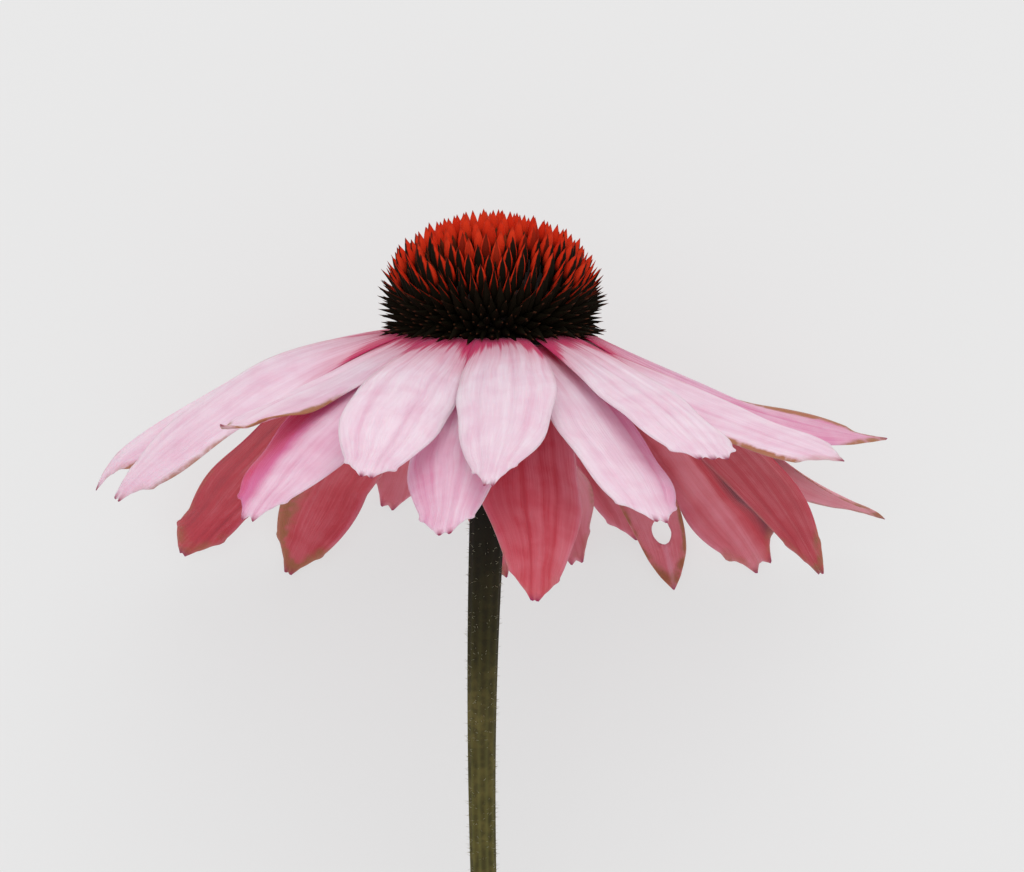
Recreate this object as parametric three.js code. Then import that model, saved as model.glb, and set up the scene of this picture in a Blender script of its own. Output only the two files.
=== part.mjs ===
// A cut purple coneflower, lying on a flat surface. Millimetres, +Z up.
//
// The flower is first built upright in its own frame: the axis runs up through the stem and the
// cone, and the origin is the middle of the plane where the ray florets leave the receptacle.
// It is then laid down, so that it rests on the cut end of its stem and on its lowest florets.
import * as THREE from 'three';
import { ConvexGeometry } from 'three/addons/geometries/ConvexGeometry.js';

// ---- Driving dimensions -------------------------------------------------------------------

const gap = 0.3; // left between pieces that touch on the real flower

const stemLength = 147; // from the florets' plane to the cut end
const stemRadius = 1.8; // at the cut end
const neckSwell = 1.0; // how much wider the stem is close under the head
const neckLength = 50; // how far down the neck's swelling fades
const stemSway = 1.5; // the stem's slow bend to either side
const stemSwayLength = 100;
const stemSides = 14;

const receptacleRadius = 12.2;
const receptacleTop = 0.7; // its flat top, above the florets' plane
const receptacleRim = 2.4; // depth of its side wall below the florets' plane
const receptacleDepth = 10; // where its flare has run down into the stem

const coneRadius = 16.1; // to the tips of the widest paleae
const coneWaist = 5.5; // height of the widest paleae
const coneTop = 18.3;
const coneBaseRadius = 12.8;
const paleaLength = 3.0; // from the tips down to the valleys between them
const paleaCount = 144;

const headHeight = 40; // the florets' plane above the surface, at its middle
const petalLength = 48;
const petalWidth = 12.8;
const petalThickness = 0.45;
const petalArch = 1.2; // how much lower a floret's edges are than its middle
const petalRootHeight = -0.2; // middle of the two rows
const rowStep = 1.1; // between the lower and the upper row
const bendRadius = 9; // of a floret where it turns to lie along the surface
const stackStep = 1.5; // lifts a floret that lies on its neighbours

const bractWhorls = [
  { name: 'inner', root: 11.4, height: -3.6, length: 11.5, width: 3.2, lift: -50, droop: 82, turn: 0 },
  { name: 'outer', root: 8.6, height: -5.6, length: 8.5, width: 2.8, lift: -64, droop: 84, turn: 0.5 },
];
const bractsPerWhorl = 13;
const bractThickness = 0.5;

// Each floret: azimuth round the head (0 is right, 90 the side that lies underneath, 270 the
// side that faces up), row (0 lower, 1 upper), how much longer and wider it is than the rest,
// its pitch at the root and at the tip, how far it swings sideways, its twist, and whether it
// lies on top of its neighbours where they meet the surface. Angles are in degrees.
const florets = [
  // azimuth, row, longer, wider, lift, droop, sweep, twist, stacked
  [356, 1, 0, -1.2, -29, 12, 19, 12, 0],
  [20, 1, 9, -0.9, -24, 33, 8, -5, 0],
  [14, 0, 5, 0.5, -33, 58, 10, -20, 0],
  [39, 1, 5, 0.4, -29, 65, -3, -10, 0],
  [57, 0, 3, -3.3, -40, 75, -10, 6, 1],
  [67, 1, -2, -0.8, -26, 68, -8, 0, 0],
  [80, 0, -2, -0.8, -43, 69, -6, 0, 1],
  [94, 1, 0, -1.8, -33, 69, -12, 0, 0],
  [113, 1, -8, -1.4, -33, 57, 4, -12, 0],
  [134, 0, 1, 1.3, -41, 60, 1, 11, 0],
  [153, 1, 7, 0.4, -34, 46, -13, 19, 0],
  [172, 1, 3, -0.3, -5, 46, 9, -14, 0],
  [190, 0, 0, 0.2, -20, 42, 1, -20, 0],
  [216, 1, -10, -0.7, -20, 15, 14, 5, 0],
  [228, 0, -1, 0.5, -16, 37, 14, -5, 0],
  [247, 1, -5, 0.3, -15, 26, 12, -10, 0],
  [262, 0, -2, -0.2, -25, 30, 3, 10, 0],
  [276, 1, -5, 0.0, -11, 33, -17, 5, 0],
  [282, 0, 0, 0.0, -41, 40, -14, -17, 0],
  [297, 0, -1, 0.4, -19, 32, -8, -11, 0],
  [313, 1, -5, 0.0, -17, 19, -23, -5, 0],
  [333, 0, -1, -0.4, -24, 11, -15, 10, 0],
];

// ---- The lying pose -----------------------------------------------------------------------

const radians = THREE.MathUtils.degToRad;

// The tilt of the axis that puts the rim of the cut end on the surface.
const tilt = Math.asin(headHeight / Math.hypot(stemLength, stemRadius)) - Math.atan(stemRadius / stemLength);

// Straight up from the surface, as seen in the upright flower's frame.
const up = new THREE.Vector3(0, -Math.cos(tilt), Math.sin(tilt));

const heightAboveSurface = (point) => headHeight + point.dot(up);

// ---- Blades: florets and bracts -----------------------------------------------------------

// Half-width of a blade along its length, from 0 at the root to 1 at the tip, as a share of the
// widest: a narrow claw that swells to the widest place and closes in a blunt, rounded tip.
function bladeOutline(along, claw, widest) {
  if (along < widest) {
    return claw + (1 - claw) * Math.sin((Math.PI / 2) * (along / widest) ** 1.15);
  }
  const beyond = (along - widest) / (1 - widest);
  return Math.max(0.06, (1 - beyond ** 2.6) ** 0.62);
}

// How far a point is from lying at the height of lowest: 1 where it is free, 0 where it lies.
function roomToBend(point, lowest) {
  return THREE.MathUtils.clamp((heightAboveSurface(point) - lowest) / bendRadius, 0, 1);
}

// Turns a heading that would run through the surface, so that the blade comes down on it in an
// arc of bendRadius and then lies along it.
function bendAlongSurface(heading, point, lowest) {
  const steepest = Math.sqrt(1 - (1 - roomToBend(point, lowest)) ** 2);
  const dive = -heading.dot(up);
  if (dive > steepest) {
    heading.addScaledVector(up, dive).setLength(Math.sqrt(1 - steepest ** 2));
    heading.addScaledVector(up, -steepest);
  }
  return heading;
}

// The middle surface of a blade: rows of points across it, from root to tip.
function bladeSurface(blade) {
  const { azimuth, root, height, length, width, lift, droop, sweep, twist, arch } = blade;
  const lowest = blade.rest + blade.thickness / 2;
  const axis = new THREE.Vector3(0, 0, 1);
  const point = new THREE.Vector3(root * Math.cos(azimuth), root * Math.sin(azimuth), height);
  const stepsPerRow = 8;
  const rows = [];
  const side = new THREE.Vector3();
  const upper = new THREE.Vector3();
  let before = 0;
  for (let i = 0; i <= blade.rows; i++) {
    const along = 1 - (1 - i / blade.rows) ** 1.2; // rows lie closer together near the tip
    const step = (along - before) / stepsPerRow;
    const heading = new THREE.Vector3();
    for (let k = i === 0 ? stepsPerRow : 1; k <= stepsPerRow; k++) {
      const here = before + step * k;
      const pitch = lift - (lift + droop) * here;
      const yaw = azimuth + sweep * here;
      heading.set(Math.cos(pitch) * Math.cos(yaw), Math.cos(pitch) * Math.sin(yaw), Math.sin(pitch));
      bendAlongSurface(heading, point, lowest);
      if (i > 0) point.addScaledVector(heading, step * length);
    }
    before = along;

    // Near the surface the blade also rolls, until its face lies flat on it.
    const room = roomToBend(point, lowest);
    const facing = axis.clone().multiplyScalar(room).addScaledVector(up, room - 1);
    side.crossVectors(facing, heading).normalize();
    upper.crossVectors(heading, side);
    const turn = twist * Math.sin((Math.PI / 2) * Math.min(1, along * 2));
    side.applyAxisAngle(heading, turn);
    upper.applyAxisAngle(heading, turn);

    const share = bladeOutline(along, blade.claw, blade.widest);
    const sag = arch * share * Math.sin((Math.PI / 2) * Math.min(1, along * 1.15));
    const row = [];
    for (let j = 0; j <= blade.columns; j++) {
      const across = (2 * j) / blade.columns - 1;
      const place = point.clone();
      place.addScaledVector(side, (width / 2) * share * across);
      place.addScaledVector(upper, -sag * across ** 2);
      const below = lowest - heightAboveSurface(place);
      if (below > 0) place.addScaledVector(up, below); // an edge that reaches the surface lies on it
      row.push(place);
    }
    rows.push(row);
  }
  return rows;
}

// A closed thin solid round a middle surface: half the thickness to either side.
function thicken(rows, thickness) {
  const last = rows.length - 1;
  const wide = rows[0].length;
  const positions = [];
  for (const half of [thickness / 2, -thickness / 2]) {
    for (let i = 0; i <= last; i++) {
      for (let j = 0; j < wide; j++) {
        const along = rows[Math.min(i + 1, last)][j].clone().sub(rows[Math.max(i - 1, 0)][j]);
        const across = rows[i][Math.min(j + 1, wide - 1)].clone().sub(rows[i][Math.max(j - 1, 0)]);
        const normal = along.cross(across).normalize();
        positions.push(...rows[i][j].clone().addScaledVector(normal, half));
      }
    }
  }
  const top = (i, j) => i * wide + j;
  const bottom = (i, j) => rows.length * wide + i * wide + j;
  const faces = [];
  const quad = (a, b, c, d) => faces.push(a, b, c, a, c, d);
  for (let i = 0; i < last; i++) {
    for (let j = 0; j < wide - 1; j++) {
      quad(top(i, j), top(i + 1, j), top(i + 1, j + 1), top(i, j + 1));
      quad(bottom(i, j), bottom(i, j + 1), bottom(i + 1, j + 1), bottom(i + 1, j));
    }
    quad(top(i, 0), bottom(i, 0), bottom(i + 1, 0), top(i + 1, 0));
    quad(top(i, wide - 1), top(i + 1, wide - 1), bottom(i + 1, wide - 1), bottom(i, wide - 1));
  }
  for (let j = 0; j < wide - 1; j++) {
    quad(top(0, j), top(0, j + 1), bottom(0, j + 1), bottom(0, j));
    quad(top(last, j), bottom(last, j), bottom(last, j + 1), top(last, j + 1));
  }
  const solid = new THREE.BufferGeometry();
  solid.setAttribute('position', new THREE.Float32BufferAttribute(positions, 3));
  solid.setIndex(faces);
  return solid;
}

function makeFloret(row) {
  const [azimuth, tier, longer, wider, lift, droop, sweep, twist, stacked] = row;
  const surface = bladeSurface({
    azimuth: radians(azimuth),
    root: receptacleRadius + gap + petalThickness / 2,
    height: petalRootHeight + (tier - 0.5) * rowStep,
    length: petalLength + longer,
    width: petalWidth + wider,
    lift: radians(lift),
    droop: radians(droop),
    sweep: radians(sweep),
    twist: radians(twist),
    arch: petalArch,
    thickness: petalThickness,
    rest: stacked * stackStep,
    claw: 0.22,
    widest: 0.58,
    rows: 10,
    columns: 4,
  });
  return thicken(surface, petalThickness);
}

function makeBract(whorl, turn) {
  const surface = bladeSurface({
    azimuth: turn,
    root: whorl.root,
    height: whorl.height,
    length: whorl.length,
    width: whorl.width,
    lift: radians(whorl.lift),
    droop: radians(whorl.droop),
    sweep: 0,
    twist: 0,
    arch: 0.3,
    thickness: bractThickness,
    rest: 0,
    claw: 0.7,
    widest: 0.3,
    rows: 4,
    columns: 2,
  });
  return thicken(surface, bractThickness);
}

// ---- Stem and receptacle ------------------------------------------------------------------

// One growth: the stem runs up into a flared disc with a flat top, which carries everything.
function makeStem() {
  const stemRadiusAt = (down) => stemRadius + neckSwell * Math.exp(-((down / neckLength) ** 2));
  const profile = [new THREE.Vector2(0, -stemLength)];
  const rings = 14;
  for (let i = 0; i <= rings; i++) {
    const down = THREE.MathUtils.lerp(stemLength, receptacleDepth, i / rings);
    profile.push(new THREE.Vector2(stemRadiusAt(down), -down));
  }
  const flare = new THREE.QuadraticBezierCurve(
    profile.at(-1),
    new THREE.Vector2(stemRadiusAt(receptacleDepth) + gap, -(receptacleRim + receptacleDepth) / 2),
    new THREE.Vector2(receptacleRadius, -receptacleRim),
  );
  profile.push(...flare.getPoints(5).slice(1));
  profile.push(new THREE.Vector2(receptacleRadius, receptacleTop));
  profile.push(new THREE.Vector2(0, receptacleTop));

  const solid = new THREE.LatheGeometry(profile, stemSides);
  solid.rotateX(Math.PI / 2);
  const places = solid.getAttribute('position');
  for (let i = 0; i < places.count; i++) {
    const down = Math.max(0, -places.getZ(i) - receptacleDepth);
    places.setX(i, places.getX(i) - stemSway * Math.sin((Math.PI * down) / stemSwayLength));
  }
  return solid;
}

// ---- Cone ---------------------------------------------------------------------------------

// A domed head of stiff paleae. Their tips follow the golden-angle spiral of the real head over
// a flattened dome; the dome's skin runs down into a valley between neighbouring tips.
function makeCone() {
  const goldenAngle = Math.PI * (3 - Math.sqrt(5));
  const flatness = 2 / 2.3; // rounder than an ellipse, as the head is
  const lowestTurn = -0.32; // cosine of the polar angle where the last paleae stand
  const base = receptacleTop + gap;
  const heart = new THREE.Vector3(0, 0, coneWaist - 1.5);
  const points = [];
  for (let i = 0; i < paleaCount; i++) {
    const cosine = 1 - ((i + 0.5) / paleaCount) * (1 - lowestTurn);
    const sine = Math.sqrt(1 - cosine ** 2);
    const rise = cosine > 0 ? coneTop - coneWaist : coneWaist - base;
    const radius = coneRadius * sine ** flatness;
    const height = coneWaist + Math.sign(cosine) * rise * Math.abs(cosine) ** flatness;
    const turn = i * goldenAngle;
    points.push(new THREE.Vector3(radius * Math.cos(turn), radius * Math.sin(turn), height));
  }
  const baseSides = 20;
  for (let i = 0; i < baseSides; i++) {
    const turn = (2 * Math.PI * i) / baseSides;
    points.push(new THREE.Vector3(coneBaseRadius * Math.cos(turn), coneBaseRadius * Math.sin(turn), base));
  }

  const hull = new ConvexGeometry(points).getAttribute('position');
  const isTip = (point) => (point.z > base + 0.01 ? 1 : 0);
  const pulledIn = (place, share) => {
    const inward = heart.clone().sub(place).setLength(paleaLength * share);
    return place.clone().add(inward);
  };
  const positions = [];
  for (let i = 0; i < hull.count; i += 3) {
    const corners = [0, 1, 2].map((k) => new THREE.Vector3().fromBufferAttribute(hull, i + k));
    const tips = corners.map(isTip);
    if (tips.every((tip) => tip === 0)) {
      corners.forEach((corner) => positions.push(...corner)); // the flat underside
      continue;
    }
    const middle = corners[0].clone().add(corners[1]).add(corners[2]).divideScalar(3);
    const valley = pulledIn(middle, (tips[0] + tips[1] + tips[2]) / 3);
    for (let k = 0; k < 3; k++) {
      const here = corners[k];
      const next = corners[(k + 1) % 3];
      const onBase = tips[k] + tips[(k + 1) % 3] === 0;
      if (onBase) {
        positions.push(...here, ...next, ...valley);
        continue;
      }
      const share = (tips[k] + tips[(k + 1) % 3]) / 2;
      const between = pulledIn(here.clone().lerp(next, 0.5), share);
      positions.push(...here, ...between, ...valley, ...between, ...next, ...valley);
    }
  }
  const solid = new THREE.BufferGeometry();
  solid.setAttribute('position', new THREE.Float32BufferAttribute(positions, 3));
  return solid;
}

// ---- The flower ---------------------------------------------------------------------------

const green = { color: 0x55602e, roughness: 0.75, metalness: 0 };
const pink = { color: 0xe6bdd2, roughness: 0.6, metalness: 0 };
const rose = { color: 0xb85070, roughness: 0.65, metalness: 0 };
const ember = { color: 0x8a2416, roughness: 0.55, metalness: 0 };

const upright = new THREE.Group();

function addPiece(name, geometry, finish) {
  const piece = new THREE.Mesh(geometry, new THREE.MeshStandardMaterial(finish));
  piece.name = name;
  upright.add(piece);
}

const numbered = (name, index) => `${name}_${String(index + 1).padStart(2, '0')}`;

addPiece('stem', makeStem(), green);
addPiece('cone', makeCone(), ember);
florets.forEach((row, index) => {
  const underneath = row[0] > 10 && row[0] < 165;
  addPiece(numbered('ray_floret', index), makeFloret(row), underneath ? rose : pink);
});
for (const whorl of bractWhorls) {
  for (let i = 0; i < bractsPerWhorl; i++) {
    const turn = ((i + whorl.turn) / bractsPerWhorl) * 2 * Math.PI;
    addPiece(numbered(`bract_${whorl.name}`, i), makeBract(whorl, turn), green);
  }
}

// Laid down: the axis drops from upright to the tilt, with the cone towards +Y. The part's
// origin is then the middle of its bounding box at the height of the surface.
upright.rotation.x = tilt - Math.PI / 2;
const flower = new THREE.Group();
flower.add(upright);
flower.updateMatrixWorld(true);
const box = new THREE.Box3().setFromObject(flower, true);
const middle = box.getCenter(new THREE.Vector3());
upright.position.set(-middle.x, -middle.y, -box.min.z);

export default flower;
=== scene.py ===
# %% [markdown]
# # A cut coneflower, laid on a table
#
# This script dresses a coneflower whose plain solids come from the CAD side. The real flower has
# a spiky cone of stiff little scales, a skirt of drooping pink petals, two rings of green leaves
# under the head and a ridged, hairy stem. Each of them is built again here with its fine shape
# and its finish, in or close to the place of its CAD solid.
#
# Everything is first made in the flower's own upright frame, in millimetres: the axis runs up
# through the stem and the cone, and the origin is the middle of the plane where the petals
# leave the head. One matrix then lays it all down. Working upright keeps the numbers readable:
# a height is a height on the flower, and an azimuth is a direction round its head.

# %% Load the frame
import math
import random

import bmesh
import bpy
import numpy as np
from mathutils import Matrix, Vector


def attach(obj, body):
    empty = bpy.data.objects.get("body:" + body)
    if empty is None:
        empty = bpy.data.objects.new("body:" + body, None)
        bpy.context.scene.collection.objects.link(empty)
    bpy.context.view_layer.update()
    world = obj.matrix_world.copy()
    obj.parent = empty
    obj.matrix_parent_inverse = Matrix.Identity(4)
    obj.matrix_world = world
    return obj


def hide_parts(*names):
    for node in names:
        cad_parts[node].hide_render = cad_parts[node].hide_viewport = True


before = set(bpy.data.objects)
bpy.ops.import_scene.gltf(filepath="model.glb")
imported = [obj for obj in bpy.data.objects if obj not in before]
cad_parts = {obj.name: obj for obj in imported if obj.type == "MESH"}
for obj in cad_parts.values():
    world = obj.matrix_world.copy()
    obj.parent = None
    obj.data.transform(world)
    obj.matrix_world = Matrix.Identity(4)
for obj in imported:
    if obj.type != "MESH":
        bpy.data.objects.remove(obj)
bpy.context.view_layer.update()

# %% [markdown]
# ## How the flower lies
#
# The flower is laid so that the rim of its cut stem and its lowest petals touch the table. The
# stiff model wouldn't balance there by itself. The tilt follows from the stem's length and the
# height of the head. The head's place is read off the frame itself:
# the stem's solid ends in a flat disc, and the middle of that disc is just above the origin of
# the upright frame.

# %% From the upright flower to the lying one
MM = 0.001
STEM_LENGTH, STEM_RADIUS = 147, 1.8
HEAD_HEIGHT = 40
RECEPTACLE_RADIUS, RECEPTACLE_TOP = 12.2, 0.7

tilt = (math.asin(HEAD_HEIGHT / math.hypot(STEM_LENGTH, STEM_RADIUS))
        - math.atan(STEM_RADIUS / STEM_LENGTH))
right = Vector((1, 0, 0))
back = Vector((0, math.sin(tilt), -math.cos(tilt)))
axis = Vector((0, math.cos(tilt), math.sin(tilt)))
UP = Vector((0, -math.cos(tilt), math.sin(tilt)))  # away from the table, in the upright frame

stem_points = [v.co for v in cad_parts["stem"].data.vertices]
disc_height = max(p.dot(axis) for p in stem_points)
disc = [p for p in stem_points if p.dot(axis) > disc_height - 0.01 * MM]
middle = [(min(p.dot(d) for p in disc) + max(p.dot(d) for p in disc)) / 2 for d in (right, back)]
head = right * middle[0] + back * middle[1] + axis * (disc_height - RECEPTACLE_TOP * MM)

turn = Matrix((right, back, axis)).transposed().to_4x4()
lay_down = Matrix.Translation(head) @ turn @ Matrix.Scale(MM, 4)
print(f"tilt {math.degrees(tilt):.2f} degrees, head at", [round(c / MM, 2) for c in head])

# %% [markdown]
# ## Camera, table and light
#
# The camera comes first, because the size of every detail is judged through it. It looks down on
# the lying flower from a few degrees above the plane of its petals, with the cone at the top of
# the picture. A long lens from 0.7 m keeps the perspective calm, as in a studio close-up.
#
# The table is one plain pale disc. The light is a bright, even sky with one large soft panel
# beyond the cone, so the upper faces of the petals are the brightest and shadows stay faint.

# %% Camera
CAMERA_DISTANCE = 0.70
LOOK_DOWN = math.radians(6)  # above the plane of the petals
LENS = 173.3

to_camera = Vector((0, -math.sin(tilt - LOOK_DOWN), math.cos(tilt - LOOK_DOWN)))
picture_up = Vector((0, math.cos(tilt - LOOK_DOWN), math.sin(tilt - LOOK_DOWN)))
aim = head + right * 2.84 * MM - picture_up * 14.48 * MM

camera = bpy.data.objects.new("camera", bpy.data.cameras.new("camera"))
camera.data.lens = LENS
camera.data.sensor_width = 36
camera.data.clip_start = 0.01
camera.location = aim + to_camera * CAMERA_DISTANCE
camera.rotation_euler = (-to_camera).to_track_quat("-Z", "Y").to_euler()
bpy.context.collection.objects.link(camera)
bpy.context.scene.camera = camera
bpy.context.scene.view_settings.view_transform = "Standard"
print("camera at", [round(c, 3) for c in camera.location])

# %% Colours and node helpers


def tone(code):
    """A colour from its six-digit code, as the linear values that shaders use."""
    parts = [(code >> shift & 255) / 255 for shift in (16, 8, 0)]
    return [c / 12.92 if c < 0.04045 else ((c + 0.055) / 1.055) ** 2.4 for c in parts] + [1]


def node(tree, kind, inputs=(), **settings):
    """Adds a node. Its inputs are given by name or number, as values or as sockets to link."""
    new = tree.nodes.new(kind)
    for key, value in settings.items():
        setattr(new, key, value)
    for key, value in dict(inputs).items():
        if isinstance(value, bpy.types.NodeSocket):
            tree.links.new(value, new.inputs[key])
        else:
            new.inputs[key].default_value = value
    return new


def maths(tree, operation, a, b=0.0, c=0.0):
    return node(tree, "ShaderNodeMath", {0: a, 1: b, 2: c}, operation=operation).outputs[0]


def blend_colours(tree, share, a, b):
    mix = node(tree, "ShaderNodeMix", {0: share, 6: a, 7: b}, data_type="RGBA")
    return mix.outputs[2]


def ramp(tree, value, low, high):
    """0 where the value is at low, 1 where it is at high, with soft ends."""
    return node(tree, "ShaderNodeMapRange", {0: value, 1: low, 2: high},
                interpolation_type="SMOOTHSTEP").outputs[0]


def attribute(tree, name):
    return node(tree, "ShaderNodeAttribute", attribute_name=name).outputs["Fac"]


def new_finish(name, **sockets):
    """A material with one Principled shader, whose constant values are set directly on it."""
    finish = bpy.data.materials.new(name)
    finish.use_nodes = True
    shader = finish.node_tree.nodes["Principled BSDF"]
    for key, value in sockets.items():
        shader.inputs[key.replace("_", " ")].default_value = value
    return finish, finish.node_tree, shader


def new_group(name, inputs, outputs):
    """An empty shader node group with named sockets: its tree, its inputs and its output node."""
    tree = bpy.data.node_groups.new(name, "ShaderNodeTree")
    for title, kind in inputs:
        tree.interface.new_socket(title, in_out="INPUT", socket_type=kind)
    for title, kind in outputs:
        tree.interface.new_socket(title, in_out="OUTPUT", socket_type=kind)
    source = tree.nodes.new("NodeGroupInput").outputs
    return tree, source, tree.nodes.new("NodeGroupOutput").inputs


def use_group(tree, group, inputs):
    placed = tree.nodes.new("ShaderNodeGroup")
    placed.node_tree = group
    for key, value in inputs.items():
        if isinstance(value, bpy.types.NodeSocket):
            tree.links.new(value, placed.inputs[key])
        else:
            placed.inputs[key].default_value = value
    return placed.outputs


FLOAT, VECTOR = "NodeSocketFloat", "NodeSocketVector"
print("helpers ready")

# %% Table and light
table_finish, _, _ = new_finish("pale table", Base_Color=tone(0x828282), Roughness=0.9,
                                Emission_Color=tone(0xFFFFFF), Emission_Strength=0.575)
bm = bmesh.new()
bmesh.ops.create_circle(bm, cap_ends=True, segments=96, radius=6)
table_mesh = bpy.data.meshes.new("table")
bm.to_mesh(table_mesh)
bm.free()
table_mesh.materials.append(table_finish)
table = bpy.data.objects.new("table", table_mesh)
bpy.context.collection.objects.link(table)

world = bpy.data.worlds.new("even sky")
world.use_nodes = True
world.node_tree.nodes["Background"].inputs["Color"].default_value = tone(0xFFFFFF)
world.node_tree.nodes["Background"].inputs["Strength"].default_value = 0.8
bpy.context.scene.world = world


def soft_panel(name, place, width, watts):
    """A square area light that faces the head of the flower."""
    lamp = bpy.data.lights.new(name, "AREA")
    lamp.size = width
    lamp.energy = watts
    panel = bpy.data.objects.new(name, lamp)
    panel.location = place
    panel.rotation_euler = (head - Vector(place)).to_track_quat("-Z", "Y").to_euler()
    bpy.context.collection.objects.link(panel)


soft_panel("panel beyond the cone", (0.15, 1.0, 0.95), 1.0, 4.5)
soft_panel("panel above", (-0.35, 0.1, 1.5), 0.9, 1.5)
print("table and light ready")

# %% [markdown]
# ## Finished pieces
#
# A piece is made upright in millimetres and then laid down by moving its mesh, not its object,
# so every object stays at the origin like the CAD solids.

# %% Laying down and naming a piece


def finish_piece(bm, name, finish, cad_node):
    bmesh.ops.transform(bm, matrix=lay_down, verts=bm.verts)
    mesh = bpy.data.meshes.new(name)
    bm.to_mesh(mesh)
    bm.free()
    mesh.shade_smooth()
    mesh.materials.append(finish)
    piece = bpy.data.objects.new(name, mesh)
    bpy.context.collection.objects.link(piece)
    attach(piece, "root")
    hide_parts(cad_node)
    return piece


def add_copies(bm, template, matrices, values=()):
    """Adds a copy of a small mesh at each matrix, and gives its points a value in each layer."""
    for index, matrix in enumerate(matrices):
        before = len(bm.verts)
        bm.from_mesh(template)
        bm.verts.ensure_lookup_table()
        new = bm.verts[before:]
        bmesh.ops.transform(bm, matrix=matrix, verts=new)
        for layer_name, numbers in values:
            layer = bm.verts.layers.float[layer_name]
            for vert in new:
                vert[layer] = numbers[index]


def frame_from(place, along, towards):
    """A matrix whose z runs along a direction and whose x leans towards another one."""
    z = along.normalized()
    x = (towards - z * towards.dot(z)).normalized()
    y = z.cross(x)
    turned = Matrix((x, y, z)).transposed().to_4x4()
    return Matrix.Translation(place) @ turned


print("piece helpers ready")

# %% [markdown]
# ## The path of a petal or leaf
#
# A petal starts level or rising at the head and droops more and more towards its tip, so its
# midrib is traced in small steps whose pitch turns from one angle to another. Petals on the
# underside would run into the table. Near it their path bends along the surface in an arc, and
# the blade rolls until its face lies flat. The same rule shaped the CAD solids. Solids may not
# overlap, so some petals lie several millimetres off theirs, and here neighbours cross in places.

# %% Tracing the midrib
BEND_RADIUS = 9
PATH_STEPS = 160
HOOK_START = 0.88  # how far along a hooked tip begins to bend


def smooth_step(low, high, x):
    share = np.clip((x - low) / (high - low), 0, 1)
    return share * share * (3 - 2 * share)


def trace_blade(azimuth, root, height, length, lift, droop, sweep, twist, lowest, hook=0.0):
    """Rows of along, point, side and upper direction, from the root to the tip."""
    point = Vector((root * math.cos(azimuth), root * math.sin(azimuth), height))
    rows = []
    step = 1 / PATH_STEPS
    for i in range(PATH_STEPS + 1):
        along = i * step
        pitch = lift - (lift + droop) * along - hook * max(
            0, (along - HOOK_START) / (1 - HOOK_START))
        yaw = azimuth + sweep * along
        heading = Vector((math.cos(pitch) * math.cos(yaw), math.cos(pitch) * math.sin(yaw),
                          math.sin(pitch)))
        room = (HEAD_HEIGHT + point.dot(UP) - lowest) / BEND_RADIUS
        room = min(1, max(0, room))
        steepest = math.sqrt(1 - (1 - room) ** 2)
        dive = -heading.dot(UP)
        if dive > steepest:
            heading += UP * dive
            heading *= math.sqrt(1 - steepest ** 2) / heading.length
            heading -= UP * steepest
        if i > 0:
            point = point + heading * step * length
        facing = Vector((0, 0, 1)) * room - UP * (1 - room)
        side = facing.cross(heading).normalized()
        upper = heading.cross(side)
        roll = Matrix.Rotation(twist * math.sin(math.pi / 2 * min(1, 2 * along)), 3, heading)
        rows.append([along, *point, *(roll @ side), *(roll @ upper)])
    return np.array(rows).T


def place_on_path(path, along, across, height, lowest):
    """Points at a distance to the side of the midrib and a height above it."""
    at = [np.interp(along, path[0], row) for row in path[1:]]
    places = np.array(at[0:3]) + np.array(at[3:6]) * across + np.array(at[6:9]) * height
    up = np.array(UP)[:, None]
    below = lowest - (HEAD_HEIGHT + (places * up).sum(0))
    return places + up * np.clip(below, 0, None)


print("path of", PATH_STEPS, "steps ready")

# %% [markdown]
# ## The petals
#
# A petal of this flower is a thin strap with a narrow claw at the root, widest past its middle.
# Two or three shallow grooves run its whole length, and it ends in two or three small teeth.
# Older ones dry from the edge inwards: the margin curls and goes tan.
#
# Each petal starts as a flat grid. Its columns run along the petal and its rows across, so the
# grooves, the curled margins and the teeth can all be written as simple functions of two
# numbers: how far along a point is, and how far across. The rows close to the tip are drawn
# back between the teeth. A Solidify modifier then gives the skin its thickness, thinner
# towards the margin. The same two numbers become the UV map, so the veins follow the petal.

# %% Petal sizes, place by place
PETAL_LENGTH, PETAL_WIDTH, PETAL_THICKNESS = 48, 13.8, 0.45
ROW_STEP = 1.1  # between the two rows of roots
STACK_STEP = 1.5  # how much higher a petal lies that rests on another
PETAL_COLUMNS, PETAL_ROWS = 28, 72
TIP_START = 0.88  # where the outermost columns of a petal end

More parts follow.
